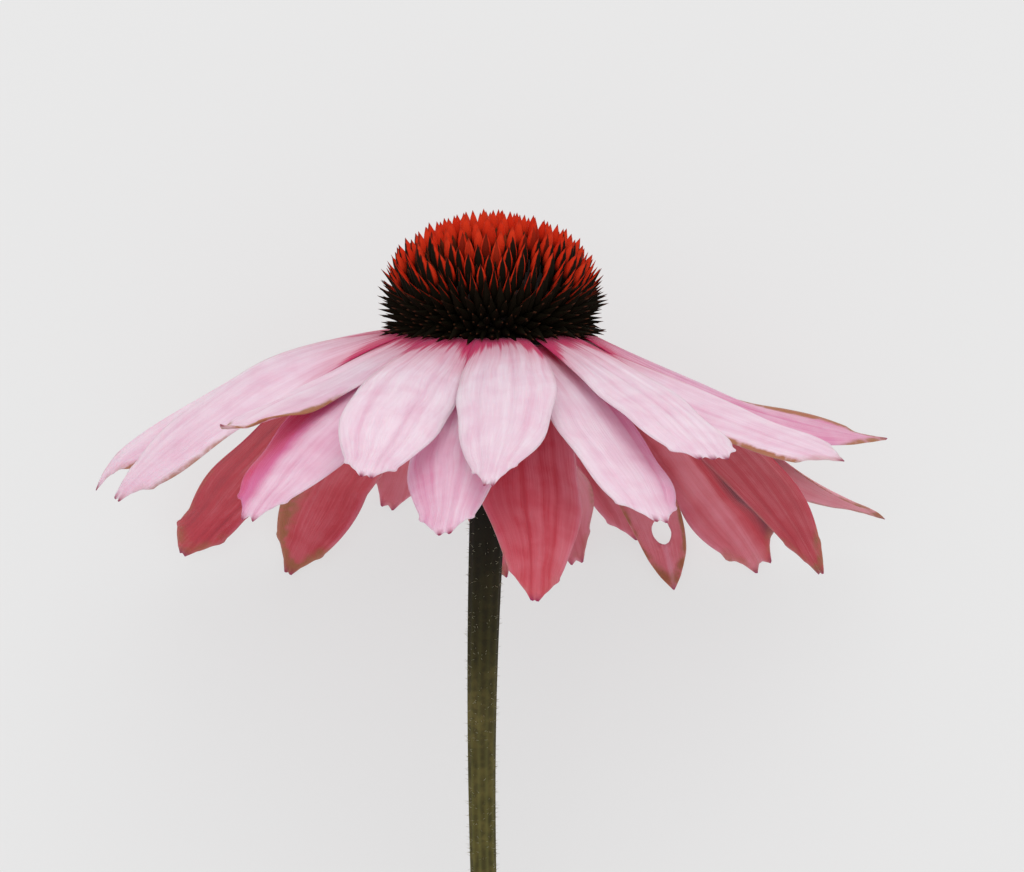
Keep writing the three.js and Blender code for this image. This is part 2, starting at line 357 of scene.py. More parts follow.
PETALS = [
    # azimuth, row, longer, wider, lift, droop, sweep, twist, stacked
    (356, 1, -0.7, -1.2, -29, 12, 19, 12, 0),
    (18, 1, 10.4, -0.9, -38, 24, 11, -10, 0),
    (14, 0, 5, 0.5, -25, 61, 12, -20, 0),
    (36, 1, 6, 0.5, -36, 54, 3, -13, 0),
    (52, 0, 2, -4.4, -32, 78, -13, 5, 1),
    (62, 1, -4, -1.2, -39, 61, -15, 13, 0),
    (75, 0, -5, -1.4, -45, 70, -18, 19, 1),
    (94, 1, -2, -3.4, -47, 71, -21, 20, 0),
    (111, 1, -8, -1.4, -35, 57, 4, -15, 0),
    (134, 0, 1, 1.3, -41, 60, 1, 11, 0),
    (153, 1, 7, 0.4, -34, 46, -13, 19, 0),
    (172, 1, 3, -0.1, -9, 44, 12, -14, 0),
    (189, 1, 0, 0.9, -9, 50, 1, -20, 0),
    (216, 1, -10, -0.7, -20, 15, 14, 5, 0),
    (228, 0, -1, 0.5, -16, 37, 14, -5, 0),
    (247, 1, -5, 0.3, -15, 26, 12, -10, 0),
    (262, 0, -2, -0.2, -25, 30, 3, 10, 0),
    (276, 1, -5, 0.0, -11, 33, -17, 5, 0),
    (282, 0, 0, 1.5, -40, 40, -14, -17, 0),
    (297, 0, -1, 0.4, -19, 32, -8, -11, 0),
    (313, 1, -5, 0.0, -17, 19, -23, -5, 0),
    (333, 0, -1, -0.4, -24, 11, -15, 10, 0),
]

# How each petal differs from a plain one. The left margin is at -1 across and the right one at
# +1, seen from above with the root behind. Numbers are shares from 0 to 1 unless noted:
#   rose    depth of the rose colour: all over, and more at the left and the right margin;
#           on the petals that lie in shade, and in the deep margins of petals 4 and 15, it is
#           painted shade
#   dry     how tan the left margin, the right margin and the tip have dried
#   inward  how far out from the middle line the dried margins start
#   curl    degrees that the left and right margins curl down, and where along it starts
#   teeth   places of the teeth across the tip;  notch: how deep they are cut, in mm
#   blunt   how square the tip is;  hook: degrees that the last tip bends down
#   widest  where along it is widest;  claw: how wide its root is beside that
#   hole    where along and across an eaten hole lies
#   streak  strength of the magenta streaks
LOOKS = {
    1: dict(rose=(0.45, 0.2, 0), dry=(0.2, 1.6, 0.9), curl=(0, -60, 0.45), teeth=(0,), hook=-12,
            blunt=1.8, notch=0.3),
    2: dict(rose=(0.15, 0.1, 0), dry=(0.6, 0.6, 0.9), teeth=(0,), blunt=1.8, notch=0.3),
    3: dict(rose=(0.75, 0.1, 0.2), dry=(0.2, 0.4, 0.9), teeth=(-0.1, 0.15), notch=0.6, blunt=1.9),
    # Petal 4's deep left margin is painted shade in its fold.
    4: dict(rose=(0.35, 3.2, 0), dry=(0.5, 0.3, 0.6), teeth=(-0.32, 0.32), notch=1.2, blunt=2.6),
    5: dict(rose=(0.45, 0, 0), dry=(0.9, 0.9, 0.9), teeth=(0,), blunt=3.0, hole=(0.815, -0.05),
            notch=0.3),
    6: dict(rose=(0.35, 0, 0), dry=(0.2, 0.2, 0.2)),
    7: dict(rose=(0.35, 0, 0), dry=(0.6, 0.8, 0.4)),
    8: dict(rose=(0.4, 0, 0), dry=(0.5, 0.5, 0.6)),
    9: dict(rose=(0.3, 0, 0), dry=(0.1, 0.1, 0.3)),
    10: dict(rose=(0.7, 0, 0), dry=(0.1, 1.2, 1.1), inward=0.1, teeth=(-0.12, 0.12), notch=0.7,
             blunt=1.9),
    11: dict(rose=(0.75, 0, 0.2), dry=(0.1, 0.5, 0.6), teeth=(-0.2, 0.0), streak=0.9,
             blunt=2.4),
    12: dict(rose=(0.08, 0, 0.3), dry=(0, 1.3, 0.4), curl=(0, 40, 0.55), teeth=(0,), hook=20,
             blunt=1.9, claw=0.85),
    13: dict(rose=(0.1, 0, 0), dry=(0, 0.7, 0.3), curl=(0, 50, 0.72), teeth=(-0.1, 0.25),
             blunt=2.0),
    14: dict(rose=(0.1, 0, 0.1), dry=(0, 1.6, 1.0), curl=(0, -60, 0.68), teeth=(0,), hook=-40,
             blunt=1.8, notch=0.3),
    # Petal 15's deep left margin is painted shadow where petal 14 lies over it.
    15: dict(rose=(0.2, 2.6, 0), teeth=(-0.25, 0.2), notch=1.3, streak=0.6, blunt=2.0),
    16: dict(rose=(0.05, 0, 0), teeth=(-0.1, 0.25), notch=1.0, blunt=2.0),
    17: dict(rose=(0.15, 0.2, 0.1), teeth=(-0.1, 0.25), notch=1.1, streak=0.9, blunt=2.2),
    18: dict(rose=(0.05, 0, 0), teeth=(-0.2, 0.15), notch=1.1, blunt=1.8, widest=0.5),
    19: dict(rose=(0.66, 0, -0.1), dry=(0.5, 0.1, 0.3), teeth=(-0.1, 0.12), blunt=1.8,
             notch=0.6, widest=0.5),
    20: dict(rose=(0.05, 0, 0.9), teeth=(-0.1, 0.25), notch=0.9, widest=0.6),
    21: dict(rose=(0.05, 0, 0), teeth=(-0.4, 0.0, 0.42), notch=1.1, blunt=3.2, widest=0.6),
    22: dict(rose=(0.08, 0, 0), dry=(1.4, 0, 0.4), curl=(15, 0, 0.6), teeth=(0.0,), blunt=2.0),
}
PLAIN = dict(rose=(0.1, 0, 0), dry=(0, 0, 0), inward=0.76, curl=(0, 0, 0.6), teeth=(-0.25, 0.25),
             notch=0.8, blunt=2.3, widest=0.54, claw=0.52, hook=0, streak=0.35)
print(len(PETALS), "petals")

# %% The outline, the teeth and the margins of a petal
CLOSING = 0.78  # how roundly the sides close in towards the tip
HOLE_LENGTH, HOLE_WIDTH = 0.042, 0.38  # half sizes of an eaten hole, along and across


def width_share(along, look):
    """Half-width along a petal, as a share of its widest."""
    widest = look["widest"]
    claw = look["claw"]
    swell = claw + (1 - claw) * np.sin(np.pi / 2 * np.clip(along / widest, 0, 1))
    beyond = np.clip((along - widest) / (1 - widest), 0, 1)
    return np.where(along < widest, swell, (1 - beyond ** look["blunt"]) ** CLOSING)


def column_end(across, look):
    """How far along the petal each column runs: less towards the margins and between teeth."""
    edge = width_share(np.array(TIP_START), look)
    widest = look["widest"]

    def rounded_end(place):
        narrow = np.clip(edge * place, 0, 1)
        return widest + (1 - widest) * (1 - narrow ** (1 / CLOSING)) ** (1 / look["blunt"])

    outer_tooth = max(abs(tooth) for tooth in look["teeth"])
    end = rounded_end(np.maximum(np.abs(across), outer_tooth)) + 1 - rounded_end(outer_tooth)
    nearest = np.min([np.abs(across - tooth) for tooth in look["teeth"]], axis=0)
    valley = np.clip(nearest / 0.24, 0, 1) ** 0.9 * (1 - smooth_step(0.7, 1.0, np.abs(across)))
    return end - look["notch"] / PETAL_LENGTH * valley


def margin_section(along, across, half_width, sag, look):
    """Sideways distance and height of points on a cross-section that may curl at its margins."""
    sideways, height = np.zeros_like(across), np.zeros_like(across)
    steps = 24
    left, right_curl, start = look["curl"]
    curl = np.where(across < 0, left, right_curl) * smooth_step(start, start + 0.25, along)
    for k in range(steps):
        out = np.abs(across) * (k + 0.5) / steps
        slope = np.arctan(2 * sag * out / half_width)
        slope = slope + np.radians(curl) * smooth_step(0.62, 1.0, out)
        length = half_width * np.abs(across) / steps
        sideways += np.cos(slope) * length
        height -= np.sin(slope) * length
    return sideways * np.sign(across), height


# %% Shaping one petal from a grid


def grow_petal(number):
    azimuth, tier, longer, wider, lift, droop, sweep, twist, stacked = PETALS[number - 1]
    look = {**PLAIN, **LOOKS.get(number, {})}
    rng = random.Random(number)
    lowest = stacked * STACK_STEP + PETAL_THICKNESS / 2
    path = trace_blade(
        math.radians(azimuth), RECEPTACLE_RADIUS + 0.3 + PETAL_THICKNESS / 2,
        -0.2 + (tier - 0.5) * ROW_STEP, PETAL_LENGTH + longer, math.radians(lift),
        math.radians(droop), math.radians(sweep), math.radians(twist), lowest,
        math.radians(look["hook"]))

    bm = bmesh.new()
    uv_layer = bm.loops.layers.uv.new("UVMap")
    bmesh.ops.create_grid(bm, x_segments=PETAL_COLUMNS, y_segments=PETAL_ROWS, size=1)
    bmesh.ops.reverse_faces(bm, faces=bm.faces)
    grid = np.array([v.co for v in bm.verts])
    across, share = grid[:, 0], (grid[:, 1] + 1) / 2
    along = share * column_end(across, look)
    hole_distance = np.full_like(along, 9.0)
    if "hole" in look:  # eaten through by an insect: the points near its rim move onto it
        hole_along, hole_across = look["hole"]
        off_along = (along - hole_along) / HOLE_LENGTH
        off_across = (across - hole_across) / HOLE_WIDTH
        hole_distance = np.hypot(off_along, off_across)
        rim = (hole_distance > 0.75) & (hole_distance < 1.3)
        along = np.where(rim, hole_along + HOLE_LENGTH * off_along / hole_distance, along)
        across = np.where(rim, hole_across + HOLE_WIDTH * off_across / hole_distance, across)
        hole_distance = np.where(rim, 1.0, hole_distance)

    half_width = (PETAL_WIDTH + wider) / 2 * width_share(np.minimum(along, TIP_START), look)
    ragged = 1 + 0.035 * np.sin(along * 17 + rng.uniform(0, 6)) * smooth_step(0.3, 0.6, along)
    sag = 1.2 * width_share(along, look) * np.sin(np.pi / 2 * np.clip(along * 1.15, 0, 1))
    sideways, height = margin_section(along, across, half_width * ragged, sag, look)

    # Grooves, a gently waving margin and a slow unevenness all along.
    groove = np.zeros_like(along)
    for place in (-0.5, -0.12, 0.22, 0.55):
        depth = rng.choice((0.15, 0.4, 0.7, 1.0))
        groove += depth * np.exp(-(((across - place - rng.uniform(-0.09, 0.09)) / 0.06) ** 2))
    fade = smooth_step(0.02, 0.25, along) * (1 - 0.5 * smooth_step(0.7, 1, along))
    height -= 0.22 * groove * fade
    for sign in (-1, 1):
        wave = np.sin(along * rng.uniform(9, 15) + rng.uniform(0, 6))
        height += 0.45 * wave * np.clip(across * sign, 0, 1) ** 2 * smooth_step(0.25, 0.7, along)
    height += 0.25 * np.sin(along * rng.uniform(5, 9) + rng.uniform(0, 6)) * smooth_step(
        0.2, 0.6, along)

    places = place_on_path(path, along, sideways, height, lowest)
    layers = {name: bm.verts.layers.float.new(name)
              for name in ("blush_and_shade", "groove", "dry", "tooth", "seed", "streak")}
    # The depth is the petal's own rose plus painted shade: high on the petals that lie in shade and
    # at the shaded margins of petals 4 and 15.
    base, left, right_side = look["rose"]
    margins = left * np.clip(-across, 0, 1) ** 1.3 + right_side * np.clip(across, 0, 1) ** 1.3
    blush_and_shade = base + margins * (1 - 0.6 * smooth_step(0.4, 1.0, along))
    dry_left, dry_right, dry_tip = look["dry"]
    dry_side = np.where(across < 0, dry_left, dry_right)
    dry = dry_side * smooth_step(look["inward"], 1.0, np.abs(across)) * smooth_step(
        0.35, 0.75, along)
    dry = np.maximum(dry, dry_tip * smooth_step(0.91, 1.0, share))
    nearest = np.min([np.abs(across - tooth) for tooth in look["teeth"]], axis=0)
    tooth = smooth_step(0.975, 1.0, share) * (1 - smooth_step(0.04, 0.14, nearest))
    for i, vert in enumerate(bm.verts):
        vert.co = places[:, i]
        vert[layers["blush_and_shade"]] = blush_and_shade[i]
        vert[layers["groove"]] = groove[i] * fade[i]
        vert[layers["dry"]] = dry[i]
        vert[layers["tooth"]] = tooth[i]
        vert[layers["seed"]] = number * 0.37
        vert[layers["streak"]] = look["streak"]
        for loop in vert.link_loops:
            loop[uv_layer].uv = ((across[i] + 1) / 2, along[i])

    body = smooth_step(0, 0.25, 1 - np.abs(across)) * smooth_step(0, 0.03, 1 - share)
    bm.verts.index_update()
    if "hole" in look:
        eaten = [f for f in bm.faces if all(hole_distance[v.index] < 1.001 for v in f.verts)]
        bmesh.ops.delete(bm, geom=eaten, context="FACES")
        body = np.array([body[v.index] for v in bm.verts])
    return bm, body


print("petal outline ready")

# %% [markdown]
# ## The finish of the petals
#
# Petals get their look from pigment under a thin, slightly satin skin. Seen close there are
# long streaks, fine parallel veins, deeper colour in the grooves and a magenta flush at the
# root. All of it follows the UV map, in which one direction is along the petal. The streaks
# are one noise pattern stretched lengthwise, so they are a node group that is used twice: few
# and broad for the streaks, many and fine for the veins.

# %% Streaks that run along a petal or a leaf
streaks_group, source, result = new_group(
    "streaks", [("UV", VECTOR), ("Seed", FLOAT), ("Lines", FLOAT), ("Stretch", FLOAT)],
    [("Streaks", FLOAT)])
uv_parts = node(streaks_group, "ShaderNodeSeparateXYZ", {0: source["UV"]}).outputs
wander = node(streaks_group, "ShaderNodeTexNoise",
              {"W": maths(streaks_group, "MULTIPLY_ADD", source["Seed"], 9.0, uv_parts[1]),
               "Scale": 3.0, "Detail": 1.0}, noise_dimensions="1D").outputs["Fac"]
wandering = maths(streaks_group, "MULTIPLY_ADD", wander, 0.14, uv_parts[0])
streak_point = node(streaks_group, "ShaderNodeCombineXYZ", {
    0: maths(streaks_group, "MULTIPLY", wandering, source["Lines"]),
    1: maths(streaks_group, "MULTIPLY", uv_parts[1], source["Stretch"]),
    2: maths(streaks_group, "MULTIPLY", source["Seed"], 17.0)}).outputs[0]
streak_noise = node(streaks_group, "ShaderNodeTexNoise",
                    {"Vector": streak_point, "Scale": 1.0, "Detail": 3.0, "Roughness": 0.55})
streaks_group.links.new(ramp(streaks_group, streak_noise.outputs["Fac"], 0.32, 0.68), result[0])

# %% Mottling: soft patches of an uneven size
mottle_group, source, result = new_group(
    "mottling", [("Point", VECTOR), ("Scale", FLOAT), ("Low", FLOAT), ("High", FLOAT)],
    [("Patches", FLOAT)])
mottle_noise = node(mottle_group, "ShaderNodeTexNoise",
                    {"Vector": source["Point"], "Scale": source["Scale"], "Detail": 4.0})
mottle_group.links.new(
    ramp(mottle_group, mottle_noise.outputs["Fac"], source["Low"], source["High"]), result[0])

# %% Petal finish


def petal_finish(name, pale, rose, deep, tan):
    finish, tree, shader = new_finish(name, Roughness=0.55, Specular_IOR_Level=0.35,
                                      Sheen_Weight=0.15, Sheen_Roughness=0.4,
                                      Subsurface_Weight=0.4, Subsurface_Scale=0.002,
                                      Subsurface_Radius=(1.0, 0.5, 0.6))
    uv = node(tree, "ShaderNodeUVMap", uv_map="UVMap").outputs["UV"]
    point = node(tree, "ShaderNodeTexCoord").outputs["Object"]
    seed, blush_and_shade, groove, dry, tooth, streak = (
        attribute(tree, layer) for layer in ("seed", "blush_and_shade", "groove", "dry", "tooth", "streak"))
    streaks = use_group(tree, streaks_group,
                        {"UV": uv, "Seed": seed, "Lines": 7.0, "Stretch": 1.1})[0]
    veins = use_group(tree, streaks_group,
                      {"UV": uv, "Seed": seed, "Lines": 52.0, "Stretch": 4.0})[0]
    ribs = use_group(tree, streaks_group,
                     {"UV": uv, "Seed": maths(tree, "ADD", seed, 0.5), "Lines": 20.0,
                      "Stretch": 2.2})[0]
    patches = use_group(tree, mottle_group,
                        {"Point": point, "Scale": 260.0, "Low": 0.35, "High": 0.7})[0]

    # How deep the rose colour is: the petal's own rose, plus painted shade on the petals that lie in
    # shade and in the deep margins of petals 4 and 15.
    depth = maths(tree, "ADD", blush_and_shade, maths(tree, "MULTIPLY", streaks, maths(
        tree, "MULTIPLY", streak, 0.35)))
    depth = maths(tree, "ADD", depth, maths(tree, "MULTIPLY", veins, 0.06))
    depth = maths(tree, "ADD", depth, maths(tree, "MULTIPLY", ribs, 0.08))
    depth = maths(tree, "ADD", depth, maths(tree, "MULTIPLY", groove, 0.16))
    depth = maths(tree, "ADD", depth, maths(tree, "MULTIPLY", patches, 0.14))

    # The flush at the root reaches further along the ribs and the margins.
    across, along, _ = node(tree, "ShaderNodeSeparateXYZ", {0: uv}).outputs
    margin = maths(tree, "POWER", maths(tree, "MULTIPLY_ADD", across, 2.0, -1.0), 4.0)
    reach = maths(tree, "MULTIPLY_ADD", ribs, -0.08, along)
    reach = maths(tree, "MULTIPLY_ADD", margin, -0.14, reach)
    flush = maths(tree, "MAXIMUM", ramp(tree, reach, 0.13, 0.01), maths(
        tree, "MULTIPLY", ramp(tree, reach, 0.32, 0.0), 0.5))

    # The dried margins are patchy.
    worn = use_group(tree, mottle_group,
                     {"Point": point, "Scale": 420.0, "Low": 0.36, "High": 0.64})[0]
    dried = ramp(tree, maths(tree, "MULTIPLY", dry, maths(
        tree, "MULTIPLY_ADD", worn, 0.7, 0.55)), 0.1, 1.0)

    colour = blend_colours(tree, depth, tone(pale), tone(rose))
    # Past 0.9 the depth turns deep crimson; on the margins of petals 4 and 15 this is painted shade.
    colour = blend_colours(tree, ramp(tree, depth, 0.9, 1.9), colour, tone(deep))
    colour = blend_colours(tree, flush, colour, tone(deep))
    colour = blend_colours(tree, dried, colour, tone(tan))
    colour = blend_colours(tree, tooth, colour, tone(0x7C1038))
    tree.links.new(colour, shader.inputs["Base Color"])

    relief = maths(tree, "MULTIPLY_ADD", streaks, 0.5, veins)
    bump = node(tree, "ShaderNodeBump", {"Height": relief, "Strength": 0.5, "Distance": 0.0001})
    tree.links.new(bump.outputs[0], shader.inputs["Normal"])
    return finish


# The second finish is the same petal with painted shade, darker and deeper rose, for the petals that
# lie under others.
lit_petal = petal_finish("petal", 0xF4DEE9, 0xCC6A98, 0xC2285C, 0x9A6842)
shaded_petal = petal_finish("petal shaded", 0xE4A2B0, 0xB83F4C, 0x6E2434, 0x94603F)
print("petal finishes ready")

# %% Growing all petals
SHADE_PAINTED_PETALS = {*range(2, 12), 19}  # petals coloured with painted shade: the back petals seen from below, and petal 19 hanging under others
for number in range(1, len(PETALS) + 1):
    bm, body = grow_petal(number)
    shade_painted = number in SHADE_PAINTED_PETALS
    petal = finish_piece(bm, f"petal_{number:02d}", shaded_petal if shade_painted else lit_petal,
                         f"ray_floret_{number:02d}")
    group = petal.vertex_groups.new(name="body")
    for index, weight in enumerate(body):
        group.add([index], float(weight), "REPLACE")
    skin = petal.modifiers.new("thickness", "SOLIDIFY")
    skin.thickness = (PETAL_THICKNESS - 0.05) * MM
    skin.offset = 0
    skin.vertex_group = "body"
    skin.thickness_vertex_group = 0.35
print("petals grown:", len(PETALS))

# %% [markdown]
# ## The cone
#
# The cone is a dome crowded with stiff, pointed scales, one beside each tiny disc flower. They
# stand in the crossed spirals that come from turning each new one by the golden angle. The
# scales on top are orange-red and point up. Lower down they lean out, their outer faces turn
# nearly black, and the lowest ones end in thin pale points. That darkness is partly the
# scales' own colour and partly painted shade.
#
# One scale is a six-sided rod, cut into rings that are swollen to a spindle. It is copied some
# five hundred times, so it has only a few dozen faces. Each copy keeps how high it stands, and
# each point how near the tip it is and whether it is on the outer face: the finish is mixed
# from those.

# %% Cone sizes
CONE_RADIUS, CONE_WAIST, CONE_TOP, CONE_BASE = 16.2, 5.5, 17.9, 1.2
LOWEST_TURN = -0.42  # cosine of the polar angle of the last scales
SCALES = 430
FRINGE = 84  # scales in the lowest ring
SCALE_LENGTH, SCALE_RADIUS = 6.4, 0.8
FLORET_LENGTH, FLORET_RADIUS = 4.6, 0.55
CONE_LAYERS = ("along", "outer", "rise", "pick")
BRISTLED_BELOW = 0.62  # how high on the dome the scales stop ending in a long bristle
GOLDEN_ANGLE = math.pi * (3 - math.sqrt(5))


def new_cone_part():
    bm = bmesh.new()
    for name in CONE_LAYERS:
        bm.verts.layers.float.new(name)
    return bm


def spindle(length, widest_radius, rings, profile):
    """A slim closed spindle along z with its base at the origin, marked for its finish."""
    bm = new_cone_part()
    bmesh.ops.create_cone(bm, cap_ends=True, segments=6, radius1=1, radius2=1, depth=1,
                          matrix=Matrix.Translation((0, 0, 0.5)))
    uprights = [e for e in bm.edges if abs(e.verts[0].co.z - e.verts[1].co.z) > 0.5]
    bmesh.ops.subdivide_edges(bm, edges=uprights, cuts=rings)
    along_layer, outer_layer = (bm.verts.layers.float[name] for name in CONE_LAYERS[:2])
    for vert in bm.verts:
        along = vert.co.z
        radius = widest_radius * profile(along)
        vert[along_layer] = along
        vert[outer_layer] = vert.co.x
        vert.co = (vert.co.x * radius, vert.co.y * radius, along * length)
    mesh = bpy.data.meshes.new("spindle")
    bm.to_mesh(mesh)
    bm.free()
    return mesh


def scale_profile(along):
    taper = max(0, (along - 0.6) / 0.4) ** 1.5
    return max(0.015, (0.7 + 0.3 * math.sin(math.pi / 2 * min(1, along / 0.6))) * (1 - taper))


def bristled_profile(along):
    taper = max(0, (along - 0.4) / 0.6) ** 0.8
    return max(0.012, (0.8 + 0.2 * math.sin(math.pi / 2 * min(1, along / 0.4))) * (1 - taper))


def floret_profile(along):
    return max(0.05, 0.75 + 0.3 * math.sin(math.pi * along * 1.2) - 0.75 * along ** 6)


scale_mesh = spindle(SCALE_LENGTH, SCALE_RADIUS, 5, scale_profile)
bristled_mesh = spindle(SCALE_LENGTH, SCALE_RADIUS, 5, bristled_profile)
floret_mesh = spindle(FLORET_LENGTH, FLORET_RADIUS, 3, floret_profile)
print("a scale has", len(scale_mesh.polygons), "faces")

# %% Where the scales stand


def dome_place(cosine, azimuth, sunk=0.0):
    sine = math.sqrt(1 - cosine ** 2)
    rise = CONE_TOP - CONE_WAIST if cosine > 0 else CONE_WAIST - CONE_BASE
    return Vector(((CONE_RADIUS - sunk) * sine * math.cos(azimuth),
                   (CONE_RADIUS - sunk) * sine * math.sin(azimuth),
                   CONE_WAIST + (rise - sunk * (cosine > 0)) * cosine / (
                       1 if cosine > 0 else -LOWEST_TURN)))


def scale_places(offset, sunk, wobble, rng):
    """Tip, direction and underside of spindles ending on the dome, and how high each stands."""
    places, rises = [], []
    for i in range(SCALES):
        cosine = 1 - (i + 0.5 + offset) / (SCALES + 1) * (1 - LOWEST_TURN)
        azimuth = (i + offset) * GOLDEN_ANGLE
        tip = dome_place(cosine, azimuth, sunk)
        sine = math.sqrt(1 - cosine ** 2)
        outward = Vector((sine * math.cos(azimuth), sine * math.sin(azimuth), cosine * 0.8))
        lean = outward + Vector((0, 0, 0.38 + 2.0 * max(0, cosine)))
        lean += Vector([rng.uniform(-wobble, wobble) for _ in range(3)])
        lean.normalize()
        below = Vector((math.cos(azimuth), math.sin(azimuth), -0.6))
        places.append((tip, lean, below))
        rises.append((cosine - LOWEST_TURN) / (1 - LOWEST_TURN))
    return places, rises


rng = random.Random(11)
bm = new_cone_part()
places, rises = scale_places(0.0, 0.0, 0.10, rng)
matrices = []
for (tip, lean, below), rise in zip(places, rises):
    size = rng.uniform(0.86, 1.0)
    tip = tip - lean * rng.uniform(-0.9 * (1 - rise), 0.5)
    matrices.append(frame_from(tip - lean * SCALE_LENGTH * size, lean, below)
                    @ Matrix.Diagonal((size, size, size, 1)))
# The lowest ring folds down over the roots of the petals.
for i in range(FRINGE):
    azimuth = 2 * math.pi * (i + rng.uniform(-0.25, 0.25)) / FRINGE
    outward = Vector((math.cos(azimuth), math.sin(azimuth), 0))
    high = i % 2
    lean = outward + Vector((0, 0, rng.uniform(-0.45, -0.15) + 0.3 * high))
    tip = outward * rng.uniform(15.1, 16.4) + Vector((0, 0, rng.uniform(-0.3, 0.4) + 0.9 * high))
    matrices.append(frame_from(tip - lean.normalized() * SCALE_LENGTH, lean, Vector((0, 0, -1))))
    rises.append(0.02)
picks = [rng.random() for _ in matrices]
for mesh, wanted in ((scale_mesh, False), (bristled_mesh, True)):
    chosen = [i for i, rise in enumerate(rises)
              if (rise + 0.2 * (picks[i] - 0.5) < BRISTLED_BELOW) == wanted]
    add_copies(bm, mesh, [matrices[i] for i in chosen],
               [("rise", [rises[i] for i in chosen]), ("pick", [picks[i] for i in chosen])])
scales_bm = bm

bm = new_cone_part()
places, rises = scale_places(0.5, 2.0, 0.08, rng)
matrices = [frame_from(tip - lean * FLORET_LENGTH, lean, below) for tip, lean, below in places]
add_copies(bm, floret_mesh, matrices,
           [("rise", rises), ("pick", [rng.random() for _ in matrices])])
florets_bm = bm
print("scales:", SCALES + FRINGE, "disc flowers:", SCALES)

# %% The dome under the scales
CORE_RADIUS, CORE_TOP, CORE_FLOOR = CONE_RADIUS - 4, CONE_TOP - 4.5, 1.05
CORE_CUT = 0.55  # how far below the middle of the ball it is cut flat
bm = new_cone_part()
bmesh.ops.create_uvsphere(bm, u_segments=48, v_segments=24, radius=1)
bmesh.ops.bisect_plane(bm, geom=bm.verts[:] + bm.edges[:] + bm.faces[:], dist=1e-5,
                       plane_co=(0, 0, -CORE_CUT), plane_no=(0, 0, -1), clear_outer=True)
rim = [e for e in bm.edges if e.is_boundary]
bmesh.ops.contextual_create(bm, geom=rim)
for vert in bm.verts:
    above, below = CORE_TOP - CONE_WAIST, (CONE_WAIST - CORE_FLOOR) / CORE_CUT
    vert.co = (vert.co.x * CORE_RADIUS, vert.co.y * CORE_RADIUS,
               CONE_WAIST + vert.co.z * (above if vert.co.z > 0 else below))
core_bm = bm
print("dome points:", len(bm.verts))

# %% Cone finish


def cone_finish(name, body_top, body_low, dark, tip_tone):
    finish, tree, shader = new_finish(name, Roughness=0.7, Specular_IOR_Level=0.06)
    along, outer, rise, pick = (attribute(tree, layer) for layer in CONE_LAYERS)
    colour = blend_colours(tree, ramp(tree, rise, 0.25, 0.62), tone(body_low), tone(body_top))
    colour = blend_colours(tree, maths(tree, "MULTIPLY", pick, 0.25), colour, tone(0xE0542E))
    # Dark at the foot of every scale, on the outer face of those lower on the dome, and all over
    # the lowest scales: partly their own dark colour, partly painted shade where they crowd and face
    # down.
    foot = ramp(tree, along, 0.62, 0.35)
    spread = maths(tree, "MULTIPLY_ADD", pick, 0.3, maths(
        tree, "MULTIPLY_ADD", ramp(tree, rise, 0.4, 0.62), 0.9, -0.55))
    face = ramp(tree, maths(tree, "SUBTRACT", outer, spread), -0.2, 0.2)
    low = ramp(tree, maths(tree, "MULTIPLY_ADD", pick, 0.12, rise), 0.96, 0.86)
    dark_and_shade = maths(tree, "MAXIMUM", foot, maths(tree, "MULTIPLY", face, low))
    dark_and_shade = maths(tree, "MAXIMUM", dark_and_shade, ramp(tree, rise, 0.5, 0.3))
    colour = blend_colours(tree, dark_and_shade, colour, tone(dark))
    point = ramp(tree, along, 0.84, 0.97)
    colour = blend_colours(tree, maths(tree, "MULTIPLY", point, 0.4), colour, tone(tip_tone))
    bristle = maths(tree, "MULTIPLY", ramp(tree, along, 0.88, 0.98), ramp(tree, rise, 0.5, 0.3))
    colour = blend_colours(tree, maths(tree, "MULTIPLY", bristle, 0.7), colour, tone(0x5E3A28))
    tree.links.new(colour, shader.inputs["Base Color"])
    return finish


scale_finish = cone_finish("cone scales", 0xD02A10, 0x7A1A10, 0x151108, 0x4A120C)
disc_finish = cone_finish("disc flowers", 0x4A2413, 0x17120B, 0x14120B, 0x2A2412)
core_finish, _, _ = new_finish("cone core", Base_Color=tone(0x1A0D08), Roughness=0.8)
finish_piece(scales_bm, "cone_scales", scale_finish, "cone")
finish_piece(florets_bm, "cone_disc_flowers", disc_finish, "cone")
finish_piece(core_bm, "cone_core", core_finish, "cone")
print("cone finished")

# %% [markdown]
# ## The stem
#
# The stem is a slightly swaying rod with shallow ridges, which flares at the top into the
# receptacle, the disc that carries everything. Its profile is drawn once and spun round the
# axis. The ridges and the sway then come from moving the points. Short pale hairs stand all
# along it: each is a three-sided cone, because there are more than a thousand.

# %% Stem shape
NECK_SWELL, NECK_LENGTH = 1.0, 50
STEM_SWAY, SWAY_LENGTH = 1.5, 100
FLARE_START, RIM_DEPTH = 10, 2.4
RIDGES = 11


def stem_radius(down):
    return STEM_RADIUS + NECK_SWELL * math.exp(-(down / NECK_LENGTH) ** 2)


def sway(down):
    return -STEM_SWAY * math.sin(math.pi * max(0, down - FLARE_START) / SWAY_LENGTH)


